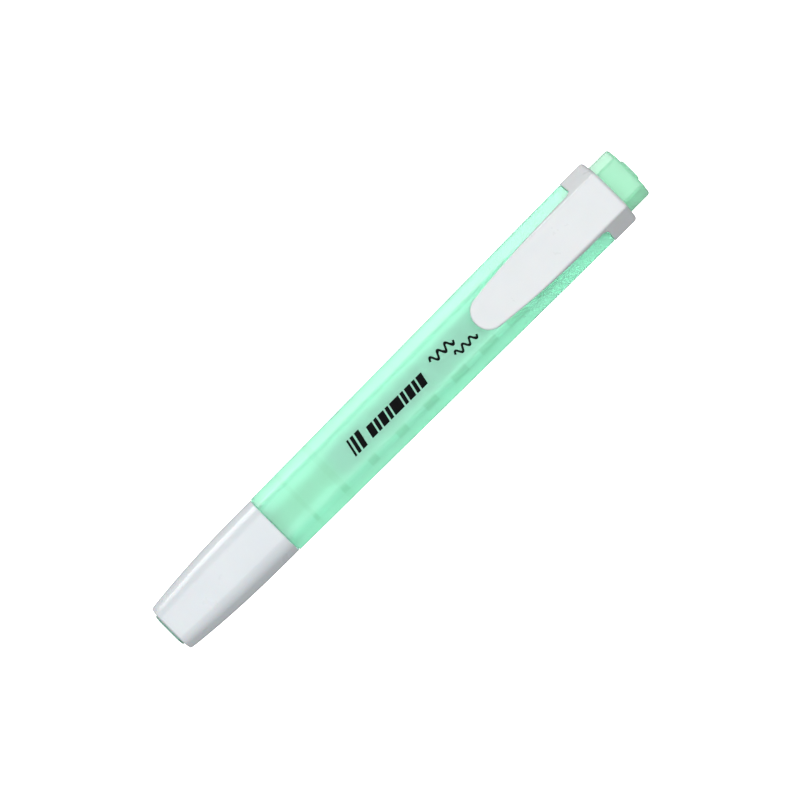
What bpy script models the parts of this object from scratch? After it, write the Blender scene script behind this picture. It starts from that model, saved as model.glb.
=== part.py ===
"""Flat pocket highlighter with a pull-off cap and a sprung clip, lying on its back with the clip up.

X runs along the pen from the cap's end to the end plug, Y across it and Z up. The origin is at the
middle of the pen's length and width, on the surface that it lies on. Units are metres.
"""

import math
from dataclasses import dataclass

import bmesh
import bpy
from mathutils import Vector

MM = 0.001

# Driving dimensions along the pen
PEN_LENGTH = 125.0 * MM
LINER_PROUD = 0.45 * MM  # how far the cap's liner shows past the cap's end
CAP_LENGTH = 28.2 * MM
CAP_GAP = 0.3 * MM  # between the cap's rim and the barrel's shoulder
COLLAR_LENGTH = 6.05 * MM
PLUG_LENGTH = 5.0 * MM
PAD_HEIGHT = 0.5 * MM  # the raised pad on the end plug
FIT_GAP = 0.2 * MM  # between pieces that are pressed together

# Driving dimensions across the pen
BARREL_HALF_WIDTH_FRONT = 6.76 * MM
BARREL_HALF_WIDTH_REAR = 7.5 * MM
COLLAR_HALF_WIDTH = 7.6 * MM
PLUG_HALF_WIDTH = 5.87 * MM
CAP_MOUTH_HALF_WIDTH = 6.68 * MM
CAP_END_HALF_WIDTH = 5.35 * MM
BARREL_TOP_FRONT = 10.2 * MM
BARREL_TOP_REAR = 10.8 * MM
CLIP_TOP = 12.6 * MM
AXIS_Z = 5.15 * MM  # height of the nib, the reservoir and the bore
CAP_WALL = 0.8 * MM
CLIP_THICKNESS = 1.15 * MM

# Places along X, from the cap's end to the plug's end
LINER_FRONT = -PEN_LENGTH / 2
CAP_FRONT = LINER_FRONT + LINER_PROUD
CAP_RIM = CAP_FRONT + CAP_LENGTH
SHOULDER = CAP_RIM + CAP_GAP
PLUG_REAR = PEN_LENGTH / 2 - PAD_HEIGHT
PLUG_SEAT = PLUG_REAR - PLUG_LENGTH
COLLAR_REAR = PLUG_SEAT - FIT_GAP
COLLAR_FRONT = COLLAR_REAR - COLLAR_LENGTH
COLLAR_SEAT = COLLAR_FRONT - FIT_GAP
COLLAR_WALL = 1.1 * MM
NECK_END = COLLAR_REAR - COLLAR_WALL - FIT_GAP
NOZZLE_FRONT = -51.0 * MM
NOZZLE_BASE = -46.6 * MM
SEAT_FRONT = -43.0 * MM
CAP_BEAD = -36.6 * MM
NIB_TIP = -56.9 * MM
NIB_TAIL = -14.6 * MM
RESERVOIR_FRONT = -18.2 * MM
RESERVOIR_REAR = 48.4 * MM

# Ink path
RESERVOIR_RADIUS = 3.5 * MM
FILM_WALL = 0.12 * MM
FILM_GAP = 0.1 * MM
NIB_HALF_WIDTH = 2.2 * MM
NIB_HALF_HEIGHT = 1.45 * MM
NIB_CHAMFER = 0.35 * MM
NIB_SLANT = math.radians(42)  # the writing edge's slope across the nib
NIB_BEVEL = math.radians(33)  # the slope of the two faces that meet in the writing edge

# Ribs inside the barrel: each is longer than the one before it
RIB_FIRST = -27.0 * MM
RIB_PITCH = 7.74 * MM
RIB_COUNT = 9
RIB_LENGTH_FIRST = 0.9 * MM
RIB_LENGTH_STEP = 0.58 * MM

# Clip
CLIP_TIP = 20.35 * MM
CLIP_ROOT = COLLAR_FRONT - 0.3 * MM
CLIP_TIP_RADIUS = 3.4 * MM
CLIP_MIDDLE_HALF_WIDTH = 4.4 * MM
CLIP_ROOT_HALF_WIDTH = 4.95 * MM
CLIP_TIP_STEPS = 6
NUB_X = 23.6 * MM
NUB_RADIUS = 0.7 * MM
NUB_HALF_LENGTH = 2.4 * MM
NUB_GAP = 0.3 * MM  # between the nub and the barrel, which a page or a pocket's edge pushes open

# Walls and edges
LINER_WALL = 0.5 * MM
PLUG_WALL = 0.8 * MM
CAP_END_WALL = 1.0 * MM
SEAT_WALL = 1.2 * MM
RIB_SLOPE = 0.15 * MM  # how far a rib's faces lean, as moulded faces do
CAP_CURVE = 2.5  # how much faster the cap narrows towards its end than at its mouth

ARC_STEPS = 3  # segments of each rounded corner of a cross-section
CAP_STEPS = 7
ROUND_SEGMENTS = 32
NUB_SEGMENTS = 16


@dataclass(frozen=True)
class Section:
    """A cross-section: a hexagon with flats on top and below and short upright sides, its corners rounded."""

    half_width: float
    bottom: float
    top: float
    flat: float  # half-width of the flats, before the corners are rounded
    upright: float  # half-height of the upright sides, before rounding
    edge_radius: float  # beside the flats
    side_radius: float  # beside the upright sides
    middle: float = AXIS_Z  # height of the upright sides' middle


def centred(half_width, half_height, flat, upright, edge_radius, side_radius):
    """A section that is the same above and below the pen's axis."""
    return Section(
        half_width,
        AXIS_Z - half_height,
        AXIS_Z + half_height,
        flat,
        upright,
        edge_radius,
        side_radius,
    )


def between(first, second, share):
    """The section that lies this share of the way from the first to the second."""
    values = {
        name: (1 - share) * getattr(first, name) + share * getattr(second, name)
        for name in first.__dataclass_fields__
    }
    return Section(**values)


def inset(section, wall):
    """The section moved inwards by a wall's thickness."""
    slope = math.atan2(
        section.top - section.middle - section.upright, section.half_width - section.flat
    )
    return Section(
        section.half_width - wall,
        section.bottom + wall,
        section.top - wall,
        section.flat - wall * math.tan(slope / 2),
        section.upright - wall * math.tan((math.pi / 2 - slope) / 2),
        max(section.edge_radius - wall, 0.3 * MM),
        max(section.side_radius - wall, 0.3 * MM),
        section.middle,
    )


def ring(section, x):
    """The section's outline at one place along the pen, anticlockwise seen from the plug's end."""
    side, flat = section.half_width, section.flat
    low, high = section.middle - section.upright, section.middle + section.upright
    corners = [
        (Vector((side, low)), section.side_radius),
        (Vector((side, high)), section.side_radius),
        (Vector((flat, section.top)), section.edge_radius),
        (Vector((-flat, section.top)), section.edge_radius),
        (Vector((-side, high)), section.side_radius),
        (Vector((-side, low)), section.side_radius),
        (Vector((-flat, section.bottom)), section.edge_radius),
        (Vector((flat, section.bottom)), section.edge_radius),
    ]
    points = []
    for i, (corner, radius) in enumerate(corners):
        before = (corner - corners[i - 1][0]).normalized()
        after = (corners[(i + 1) % len(corners)][0] - corner).normalized()
        turn = before.angle(after)
        centre = corner + (after - before).normalized() * radius / math.cos(turn / 2)
        start = math.atan2(-before.x, before.y)
        for step in range(ARC_STEPS + 1):
            angle = start + turn * step / ARC_STEPS
            points.append(
                Vector(
                    (
                        x,
                        centre.x + radius * math.cos(angle),
                        centre.y + radius * math.sin(angle),
                    )
                )
            )
    return points


def loft(name, stations, tube):
    """A closed skin over (x, section) stations: a tube's walls joined into one loop, or a body with filled ends."""
    form = bmesh.new()
    loops = [[form.verts.new(p) for p in ring(section, x)] for x, section in stations]
    pairs = list(zip(loops, loops[1:]))
    if tube:
        pairs.append((loops[-1], loops[0]))
    for near, far in pairs:
        for i in range(len(near)):
            j = (i + 1) % len(near)
            form.faces.new((near[i], near[j], far[j], far[i]))
    if not tube:
        form.faces.new(loops[0])
        form.faces.new(loops[-1])
    bmesh.ops.recalc_face_normals(form, faces=form.faces)
    return add_mesh(name, form)


def add_mesh(name, form):
    """Turns a bmesh into a named object in the pen's collection, shaded smooth between sharp edges."""
    mesh = bpy.data.meshes.new(name)
    form.to_mesh(mesh)
    form.free()
    mesh.shade_smooth()
    mesh.set_sharp_from_angle(angle=math.radians(35))
    thing = bpy.data.objects.new(name, mesh)
    pen.objects.link(thing)
    return thing


def paint(thing, colour, roughness, transmission=0.0):
    """Gives the object a material of its own."""
    material = bpy.data.materials.new(thing.name)
    material.use_nodes = True
    shader = material.node_tree.nodes["Principled BSDF"]
    shader.inputs["Base Color"].default_value = (*colour, 1.0)
    shader.inputs["Roughness"].default_value = roughness
    shader.inputs["Metallic"].default_value = 0.0
    shader.inputs["Transmission Weight"].default_value = transmission
    thing.data.materials.clear()
    thing.data.materials.append(material)


def combine(thing, other, operation):
    """Joins or cuts one object with a helper, which is then hidden among the cutters."""
    modifier = thing.modifiers.new(other.name, "BOOLEAN")
    modifier.object = other
    modifier.operation = operation
    for collection in other.users_collection:
        collection.objects.unlink(other)
    cutters.objects.link(other)
    other.hide_render = True
    other.display_type = "WIRE"


def round_bar(name, radius, start, end):
    """A solid cylinder along the pen's axis."""
    form = bmesh.new()
    bmesh.ops.create_cone(
        form,
        cap_ends=True,
        segments=ROUND_SEGMENTS,
        radius1=radius,
        radius2=radius,
        depth=end - start,
    )
    bmesh.ops.rotate(form, verts=form.verts, cent=(0, 0, 0), matrix=turn_to_x())
    thing = add_mesh(name, form)
    thing.location = ((start + end) / 2, 0, AXIS_Z)
    return thing


def turn_to_x():
    """The rotation that lays a shape's Z axis along X."""
    return Vector((0, 0, 1)).rotation_difference(Vector((1, 0, 0))).to_matrix()


# Sections that several pieces share
BARREL_FRONT_SECTION = Section(
    BARREL_HALF_WIDTH_FRONT, 0.0, BARREL_TOP_FRONT, 4.5 * MM, 1.0 * MM, 2.2 * MM, 2.6 * MM
)
BARREL_REAR_SECTION = Section(
    BARREL_HALF_WIDTH_REAR, 0.0, BARREL_TOP_REAR, 4.75 * MM, 1.1 * MM, 1.4 * MM, 2.4 * MM
)
SEAT_SECTION = centred(5.6 * MM, 3.9 * MM, 3.7 * MM, 0.8 * MM, 1.6 * MM, 1.8 * MM)
PLUG_SECTION = centred(PLUG_HALF_WIDTH, 4.0 * MM, 3.75 * MM, 0.8 * MM, 1.0 * MM, 1.6 * MM)
PAD_SECTION = centred(2.4 * MM, 2.0 * MM, 1.6 * MM, 0.6 * MM, 0.7 * MM, 0.7 * MM)
NOZZLE_SECTION = centred(3.0 * MM, 2.25 * MM, 2.1 * MM, 0.9 * MM, 0.7 * MM, 0.9 * MM)
NIB_CHANNEL_SECTION = centred(2.4 * MM, 1.65 * MM, 2.0 * MM, 1.25 * MM, 0.2 * MM, 0.2 * MM)
BORE_SECTION = centred(5.0 * MM, 3.7 * MM, 3.6 * MM, 1.2 * MM, 0.9 * MM, 1.2 * MM)
NECK_SECTION = Section(
    5.95 * MM, 0.85 * MM, 9.6 * MM, 4.2 * MM, 1.3 * MM, 1.2 * MM, 1.5 * MM
)
SPIGOT_SECTION = inset(BORE_SECTION, FIT_GAP)
SIDE_RIB_SECTION = centred(3.8 * MM, 3.7 * MM, 2.7 * MM, 1.2 * MM, 0.9 * MM, 1.0 * MM)
GUIDE_RIB_SECTION = centred(2.7 * MM, 2.1 * MM, 2.0 * MM, 1.2 * MM, 0.3 * MM, 0.4 * MM)
CAP_MOUTH_SECTION = Section(
    CAP_MOUTH_HALF_WIDTH, 0.0, BARREL_TOP_FRONT, 4.6 * MM, 0.9 * MM, 3.3 * MM, 3.0 * MM
)
CAP_END_SECTION = centred(CAP_END_HALF_WIDTH, 3.9 * MM, 3.6 * MM, 0.7 * MM, 2.4 * MM, 2.2 * MM)
LINER_SECTION = centred(3.77 * MM, 2.95 * MM, 2.7 * MM, 1.0 * MM, 1.0 * MM, 1.3 * MM)
COLLAR_SECTION = Section(
    COLLAR_HALF_WIDTH, 0.0, CLIP_TOP, 4.45 * MM, 1.1 * MM, 0.35 * MM, 1.6 * MM
)


def rib_centre(index):
    return RIB_FIRST + index * RIB_PITCH


def rib_stations(index):
    """The bore's steps over one rib, from its rear to its front."""
    half_length = (RIB_LENGTH_FIRST + index * RIB_LENGTH_STEP) / 2
    is_guide = rib_centre(index) + half_length < RESERVOIR_FRONT
    section = GUIDE_RIB_SECTION if is_guide else SIDE_RIB_SECTION
    rear, front = rib_centre(index) + half_length, rib_centre(index) - half_length
    return [
        (rear + RIB_SLOPE, BORE_SECTION),
        (rear, section),
        (front, section),
        (front - RIB_SLOPE, BORE_SECTION),
    ]


def make_barrel():
    """The tinted body: nozzle, cap seat, tapered grip, and the neck that the collar sits on."""
    edge = 0.3 * MM
    bead_height, bead_half_length = 0.12 * MM, 0.6 * MM
    outside = [
        (NOZZLE_FRONT, inset(NOZZLE_SECTION, 0.35 * MM)),
        (NOZZLE_FRONT + edge, NOZZLE_SECTION),
        (NOZZLE_BASE, NOZZLE_SECTION),
        (NOZZLE_BASE + edge, inset(NOZZLE_SECTION, -0.2 * MM)),
        (SEAT_FRONT - edge, inset(SEAT_SECTION, 0.3 * MM)),
        (SEAT_FRONT + edge, SEAT_SECTION),
        (CAP_BEAD - bead_half_length, SEAT_SECTION),
        (CAP_BEAD, inset(SEAT_SECTION, -bead_height)),
        (CAP_BEAD + bead_half_length, SEAT_SECTION),
        (SHOULDER, SEAT_SECTION),
        (SHOULDER, inset(BARREL_FRONT_SECTION, edge)),
        (SHOULDER + edge, BARREL_FRONT_SECTION),
        (COLLAR_SEAT - edge, BARREL_REAR_SECTION),
        (COLLAR_SEAT, inset(BARREL_REAR_SECTION, edge)),
        (COLLAR_SEAT, NECK_SECTION),
        (NECK_END - edge, NECK_SECTION),
        (NECK_END, inset(NECK_SECTION, 0.2 * MM)),
    ]
    inside = [(NECK_END, BORE_SECTION)]
    for index in reversed(range(RIB_COUNT)):
        inside += rib_stations(index)
    inside += [
        (SHOULDER + 1.5 * MM, BORE_SECTION),
        (SHOULDER - 1.0 * MM, inset(SEAT_SECTION, SEAT_WALL)),
        (SEAT_FRONT + SEAT_WALL, inset(SEAT_SECTION, SEAT_WALL)),
        (SEAT_FRONT - 1.4 * MM, NIB_CHANNEL_SECTION),
        (NOZZLE_FRONT, NIB_CHANNEL_SECTION),
    ]
    barrel = loft("barrel", outside + inside, tube=True)
    paint(barrel, (0.36, 0.82, 0.61), 0.22, transmission=0.4)


def make_end_plug():
    """The hollow plug that closes the barrel, with the block that the cap pushes on to when it is posted."""
    edge = 0.5 * MM
    spigot_front = RESERVOIR_REAR + 0.3 * MM  # it keeps the reservoir pressed on the nib
    inner = inset(SPIGOT_SECTION, PLUG_WALL)
    plug = loft(
        "end_plug",
        [
            (PLUG_REAR - 1.0 * MM, inner),
            (spigot_front, inner),
            (spigot_front, inset(SPIGOT_SECTION, 0.3 * MM)),
            (spigot_front + edge, SPIGOT_SECTION),
            (PLUG_SEAT, SPIGOT_SECTION),
            (PLUG_SEAT, PLUG_SECTION),
            (PLUG_REAR - edge, PLUG_SECTION),
            (PLUG_REAR - edge / 3, inset(PLUG_SECTION, edge / 3)),
            (PLUG_REAR, inset(PLUG_SECTION, edge)),
            (PLUG_REAR, PAD_SECTION),
            (PLUG_REAR + PAD_HEIGHT * 0.7, PAD_SECTION),
            (PLUG_REAR + PAD_HEIGHT, inset(PAD_SECTION, 0.2 * MM)),
        ],
        tube=False,
    )
    paint(plug, (0.44, 0.85, 0.62), 0.22, transmission=0.4)


def make_clip_collar():
    """The white collar that the clip grows from, held between the barrel's shoulder and the plug."""
    edge = 0.8 * MM
    socket = inset(NECK_SECTION, -FIT_GAP)
    opening = inset(SPIGOT_SECTION, -FIT_GAP)
    collar = loft(
        "clip_collar",
        [
            (COLLAR_FRONT, inset(COLLAR_SECTION, 0.15 * MM)),
            (COLLAR_FRONT + 0.15 * MM, COLLAR_SECTION),
            (COLLAR_REAR - edge, COLLAR_SECTION),
            (COLLAR_REAR - edge * 0.3, inset(COLLAR_SECTION, edge * 0.3)),
            (COLLAR_REAR, inset(COLLAR_SECTION, edge)),
            (COLLAR_REAR, opening),
            (COLLAR_REAR - COLLAR_WALL, opening),
            (COLLAR_REAR - COLLAR_WALL, socket),
            (COLLAR_FRONT, socket),
        ],
        tube=True,
    )
    paint(collar, (0.82, 0.84, 0.84), 0.3)


def barrel_top(x):
    """Height of the barrel's upper flat at a place along the pen."""
    share = (x - SHOULDER) / (COLLAR_SEAT - SHOULDER)
    return BARREL_TOP_FRONT + share * (BARREL_TOP_REAR - BARREL_TOP_FRONT)


def clip_outline():
    """One side of the clip's outline seen from above, from the tip to the root."""
    side = [(CLIP_TIP, 0.0)]
    for step in range(1, CLIP_TIP_STEPS + 1):
        angle = math.pi / 2 * step / CLIP_TIP_STEPS
        x = CLIP_TIP + CLIP_TIP_RADIUS * (1 - math.cos(angle))
        side.append((x, CLIP_TIP_RADIUS * math.sin(angle)))
    side.append(((CLIP_TIP + CLIP_ROOT) / 2, CLIP_MIDDLE_HALF_WIDTH))
    side.append((CLIP_ROOT, CLIP_ROOT_HALF_WIDTH))
    return side


def make_clip_arm():
    """The clip's springy arm, with the nub under its tip that grips a pocket or a page."""
    side = clip_outline()
    outline = side + [(x, -y) for x, y in reversed(side[1:])]
    curve = bpy.data.curves.new("clip_arm_outline", "CURVE")
    curve.dimensions = "2D"
    curve.fill_mode = "BOTH"
    curve.extrude = CLIP_THICKNESS / 2
    spline = curve.splines.new("POLY")
    spline.points.add(len(outline) - 1)
    for point, (x, y) in zip(spline.points, outline):
        point.co = (x, y, 0.0, 1.0)
    spline.use_cyclic_u = True
    drawn = bpy.data.objects.new("clip_arm_outline", curve)
    drawn.location.z = CLIP_TOP - CLIP_THICKNESS / 2
    pen.objects.link(drawn)
    bpy.context.view_layer.update()
    graph = bpy.context.evaluated_depsgraph_get()
    mesh = bpy.data.meshes.new_from_object(drawn.evaluated_get(graph))
    form = bmesh.new()
    form.from_mesh(mesh)
    bmesh.ops.remove_doubles(form, verts=form.verts, dist=0.01 * MM)
    bmesh.ops.recalc_face_normals(form, faces=form.faces)
    arm = add_mesh("clip_arm", form)
    arm.matrix_world = drawn.matrix_world
    bpy.data.objects.remove(drawn)

    nub_form = bmesh.new()
    bmesh.ops.create_cone(
        nub_form,
        cap_ends=True,
        segments=NUB_SEGMENTS,
        radius1=NUB_RADIUS,
        radius2=NUB_RADIUS,
        depth=2 * NUB_HALF_LENGTH,
    )
    nub = add_mesh("clip_nub", nub_form)
    nub.rotation_euler.x = math.radians(90)
    nub.location = (NUB_X, 0.0, barrel_top(NUB_X) + NUB_GAP + NUB_RADIUS)
    combine(arm, nub, "UNION")
    paint(arm, (0.82, 0.84, 0.84), 0.3)


def cap_section(x):
    """The cap's outer section: it narrows ever faster from the mouth to the end."""
    share = (x - CAP_FRONT) / CAP_LENGTH
    return between(CAP_END_SECTION, CAP_MOUTH_SECTION, 1 - (1 - share) ** CAP_CURVE)


def make_cap_shell():
    """The white cap: a tapered sleeve with an opening in its end for the liner."""
    edge = 0.35 * MM
    opening = inset(LINER_SECTION, -FIT_GAP)
    crowding = 1.4  # the steps lie closer together where the cap curves more
    places = [
        CAP_FRONT + edge + (CAP_LENGTH - 2 * edge) * (step / CAP_STEPS) ** crowding
        for step in range(CAP_STEPS + 1)
    ]
    outside = [(CAP_FRONT, inset(cap_section(CAP_FRONT), edge))]
    outside += [(x, cap_section(x)) for x in places]
    outside += [(CAP_RIM, inset(cap_section(CAP_RIM), edge / 2))]
    inner_places = [CAP_FRONT + CAP_END_WALL, *places[2:-1], CAP_RIM]
    inside = [(x, inset(cap_section(x), CAP_WALL)) for x in reversed(inner_places)]
    inside += [(CAP_FRONT + CAP_END_WALL, opening), (CAP_FRONT, opening)]
    cap = loft("cap_shell", outside + inside, tube=True)
    paint(cap, (0.80, 0.83, 0.85), 0.3)


def make_cap_liner():
    """The inner cap that seals on the nozzle, with the flange that holds it in the shell."""
    rim = NOZZLE_FRONT + 3.6 * MM
    flange_rear, flange_front = rim - 1.0 * MM, rim - 1.8 * MM
    hollow = inset(LINER_SECTION, LINER_WALL)
    flange = inset(cap_section(flange_front), CAP_WALL + FIT_GAP)
    edge = 0.25 * MM
    liner = loft(
        "cap_liner",
        [
            (LINER_FRONT + 1.2 * MM, hollow),
            (rim, hollow),
            (rim, LINER_SECTION),
            (flange_rear, LINER_SECTION),
            (flange_rear, flange),
            (flange_front, flange),
            (flange_front, LINER_SECTION),
            (LINER_FRONT + edge, LINER_SECTION),
            (LINER_FRONT, inset(LINER_SECTION, edge)),
        ],
        tube=False,
    )
    paint(liner, (0.30, 0.62, 0.48), 0.3, transmission=0.2)


def make_nib():
    """The felt nib: a flat bar cut to a slanted chisel edge in front and narrowed at its tail."""
    form = bmesh.new()
    bmesh.ops.create_cube(form, size=1.0)
    size = Vector((NIB_TAIL - NIB_TIP, 2 * NIB_HALF_WIDTH, 2 * NIB_HALF_HEIGHT))
    bmesh.ops.scale(form, vec=size, verts=form.verts)
    middle = Vector(((NIB_TIP + NIB_TAIL) / 2, 0.0, AXIS_Z))
    bmesh.ops.translate(form, vec=middle, verts=form.verts)
    along = [e for e in form.edges if abs(e.verts[0].co.x - e.verts[1].co.x) > MM]
    bmesh.ops.bevel(
        form, geom=along, offset=NIB_CHAMFER, segments=2, profile=0.5, affect="EDGES"
    )
    tip = Vector((NIB_TIP, NIB_HALF_WIDTH, AXIS_Z))
    edge_line = Vector((math.sin(NIB_SLANT), -math.cos(NIB_SLANT), 0.0))
    for upward in (1, -1):
        normal = edge_line.cross(
            Vector((math.cos(NIB_BEVEL), 0.0, upward * math.sin(NIB_BEVEL)))
        )
        slice_off(form, tip + Vector((0, 0, upward * 0.2 * MM)), normal, Vector((-1, 0, upward)))
    for side in (1, -1):
        tail = Vector((NIB_TAIL, side * (NIB_HALF_WIDTH - 0.8 * MM), AXIS_Z))
        slice_off(form, tail, Vector((0.3, side, 0.0)), Vector((0, side, 0)))
    nib = add_mesh("nib", form)
    paint(nib, (0.32, 0.80, 0.56), 0.85)


def slice_off(form, point, normal, away):
    """Cuts a convex form with a plane, removes what lies on the away side, and closes the cut."""
    facing = normal if normal.dot(away) > 0 else -normal
    cut = bmesh.ops.bisect_plane(
        form,
        geom=form.verts[:] + form.edges[:] + form.faces[:],
        dist=1e-7,
        plane_co=point,
        plane_no=facing,
        clear_outer=True,
    )
    rim = [e for e in cut["geom_cut"] if isinstance(e, bmesh.types.BMEdge)]
    bmesh.ops.contextual_create(form, geom=rim)
    bmesh.ops.recalc_face_normals(form, faces=form.faces)


def make_reservoir():
    """The fibre core that holds the ink, with a pocket for the nib's tail, and the film around it."""
    core_radius = RESERVOIR_RADIUS - FILM_WALL - FILM_GAP
    core = round_bar("reservoir_core", core_radius, RESERVOIR_FRONT, RESERVOIR_REAR)
    pocket_section = inset(NIB_CHANNEL_SECTION, -0.05 * MM)
    pocket = loft(
        "nib_pocket",
        [
            (RESERVOIR_FRONT - 1.0 * MM, pocket_section),
            (NIB_TAIL + FIT_GAP, pocket_section),
        ],
        tube=False,
    )
    combine(core, pocket, "DIFFERENCE")
    paint(core, (0.34, 0.78, 0.58), 0.9)

    profile = bmesh.new()
    start = profile.verts.new((RESERVOIR_REAR, 0.0, RESERVOIR_RADIUS))
    end = profile.verts.new((RESERVOIR_FRONT, 0.0, RESERVOIR_RADIUS))
    profile.edges.new((start, end))
    film = add_mesh("reservoir_film", profile)
    film.location.z = AXIS_Z
    turned = film.modifiers.new("turned", "SCREW")
    turned.axis = "X"
    turned.steps = ROUND_SEGMENTS
    turned.render_steps = ROUND_SEGMENTS
    turned.use_merge_vertices = True
    turned.merge_threshold = 0.01 * MM
    wall = film.modifiers.new("wall", "SOLIDIFY")
    wall.thickness = FILM_WALL
    wall.offset = -1.0
    paint(film, (0.85, 0.88, 0.88), 0.15, transmission=0.8)


def clear_scene():
    for thing in list(bpy.data.objects):
        bpy.data.objects.remove(thing)


clear_scene()
pen = bpy.data.collections.new("highlighter")
cutters = bpy.data.collections.new("cutters")
bpy.context.scene.collection.children.link(pen)
bpy.context.scene.collection.children.link(cutters)

make_barrel()
make_end_plug()
make_clip_collar()
make_clip_arm()
make_cap_shell()
make_cap_liner()
make_nib()
make_reservoir()
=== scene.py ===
"""The look of the highlighter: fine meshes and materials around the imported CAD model.

Everything is in metres in the CAD model's frame: +X along the pen to its end plug, +Y across it,
+Z up, with the pen lying on the plane z = 0. Long moulded pieces are lofts of rounded hexagons. The
clip moulding and the nib are distance functions, meshed by a surface net.
"""

import math
from dataclasses import dataclass

import bmesh
import bpy
import numpy as np
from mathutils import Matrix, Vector


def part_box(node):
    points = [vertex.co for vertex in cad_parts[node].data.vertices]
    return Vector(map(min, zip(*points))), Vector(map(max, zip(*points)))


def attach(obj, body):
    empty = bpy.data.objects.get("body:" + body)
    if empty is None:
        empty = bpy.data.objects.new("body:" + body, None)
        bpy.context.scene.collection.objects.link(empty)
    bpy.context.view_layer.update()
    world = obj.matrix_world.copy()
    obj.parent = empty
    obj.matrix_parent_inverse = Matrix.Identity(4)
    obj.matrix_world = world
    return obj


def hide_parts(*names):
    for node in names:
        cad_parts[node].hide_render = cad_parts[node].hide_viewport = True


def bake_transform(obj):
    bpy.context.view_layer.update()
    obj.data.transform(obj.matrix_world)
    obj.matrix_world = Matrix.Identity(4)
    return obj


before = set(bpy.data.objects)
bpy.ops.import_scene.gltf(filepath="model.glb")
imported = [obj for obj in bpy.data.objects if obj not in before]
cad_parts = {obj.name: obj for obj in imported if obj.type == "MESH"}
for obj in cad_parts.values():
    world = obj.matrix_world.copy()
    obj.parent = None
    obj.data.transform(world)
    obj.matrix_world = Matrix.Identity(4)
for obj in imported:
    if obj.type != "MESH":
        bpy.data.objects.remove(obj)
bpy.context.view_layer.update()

MM = 0.001

CAP_GAP = 0.08 * MM  # between the cap's rim and the barrel's shoulder
COLLAR_GAP = 0.05 * MM  # in front of the collar and behind it
SLIP = 0.2 * MM  # room round a part that slides into another

# Places along the pen, from the CAD model
LINER_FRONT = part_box("cap_liner")[0].x
LINER_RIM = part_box("cap_liner")[1].x
CAP_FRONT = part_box("cap_shell")[0].x
CAP_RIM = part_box("cap_shell")[1].x
NOZZLE_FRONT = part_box("barrel")[0].x
NECK_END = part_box("barrel")[1].x
COLLAR_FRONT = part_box("clip_collar")[0].x
COLLAR_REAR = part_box("clip_collar")[1].x
SPIGOT_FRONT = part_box("end_plug")[0].x
PAD_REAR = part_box("end_plug")[1].x
CLIP_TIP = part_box("clip_arm")[0].x
NIB_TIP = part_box("nib")[0].x
NIB_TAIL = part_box("nib")[1].x
CORE_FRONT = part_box("reservoir_core")[0].x
CORE_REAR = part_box("reservoir_core")[1].x
SHOULDER = CAP_RIM + CAP_GAP
COLLAR_SEAT = COLLAR_FRONT - COLLAR_GAP
PLUG_SEAT = COLLAR_REAR + COLLAR_GAP
PAD_HEIGHT = 0.5 * MM
PLUG_REAR = PAD_REAR - PAD_HEIGHT
CAP_LENGTH = CAP_RIM - CAP_FRONT

# Heights and widths, from the CAD model
CLIP_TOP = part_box("clip_collar")[1].z
COLLAR_HALF_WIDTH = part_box("clip_collar")[1].y
BARREL_TOP_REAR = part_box("barrel")[1].z
BARREL_HALF_WIDTH_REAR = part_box("barrel")[1].y
CAP_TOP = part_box("cap_shell")[1].z
AXIS_Z = (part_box("end_plug")[0].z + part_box("end_plug")[1].z) / 2
CORE_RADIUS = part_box("reservoir_core")[1].y
FILM_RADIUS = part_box("reservoir_film")[1].y
BARREL_TOP_FRONT = CAP_TOP
BARREL_HALF_WIDTH_FRONT = 6.76 * MM  # as in the CAD, though no box gives it
PLUG_HALF_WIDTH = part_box("end_plug")[1].y
CAP_HALF_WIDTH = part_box("cap_shell")[1].y

# Ribs inside the barrel
RIB_FIRST = -27.0 * MM
RIB_PITCH = 7.74 * MM
RIB_COUNT = 9
RIB_LENGTH_FIRST = 0.9 * MM
RIB_LENGTH_STEP = 0.58 * MM  # how much longer each rib is than the one before
RIB_SLOPE = 0.15 * MM  # how far a rib's faces lean
BARREL_CREASE = 4.5 * MM  # how far from the middle the upper flat turns into the sides

ARC_STEPS = 8  # segments of each rounded corner of a section
EDGE_STEPS = 4  # segments of each rounded edge along the pen
LOFT_STEP = 2.0 * MM  # longest face along the pen
LEAST_RADIUS = 0.15 * MM  # what an inset section's corners keep
SHARP_ANGLE = math.radians(40)  # edges that turn by more than this stay sharp


# ---------------------------------------------------------------- lofted mouldings


@dataclass(frozen=True)
class Section:
    """A cross-section: flats on top and below, sloping faces, short upright sides, rounded corners."""

    half_width: float
    bottom: float
    top: float
    flat: float  # half-width of the flats, before rounding
    upright: float  # half-height of the upright sides, before rounding
    edge_radius: float  # beside the flats
    side_radius: float  # beside the upright sides


def centred(half_width, half_height, flat, upright, edge_radius, side_radius):
    """A section that is the same above and below the pen's axis."""
    low, high = AXIS_Z - half_height, AXIS_Z + half_height
    return Section(half_width, low, high, flat, upright, edge_radius, side_radius)


def between(first, second, share):
    """The section that lies this share of the way from the first to the second."""
    values = {
        name: (1 - share) * getattr(first, name) + share * getattr(second, name)
        for name in first.__dataclass_fields__
    }
    return Section(**values)


def inset(section, wall):
    """The section moved inwards by a wall's thickness, or outwards by a negative one."""
    rise = section.top - AXIS_Z - section.upright
    slope = math.atan2(rise, section.half_width - section.flat)
    return Section(
        section.half_width - wall,
        section.bottom + wall,
        section.top - wall,
        section.flat - wall * math.tan(slope / 2),
        section.upright - wall * math.tan((math.pi / 2 - slope) / 2),
        max(section.edge_radius - wall, LEAST_RADIUS),
        max(section.side_radius - wall, LEAST_RADIUS),
    )


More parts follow.
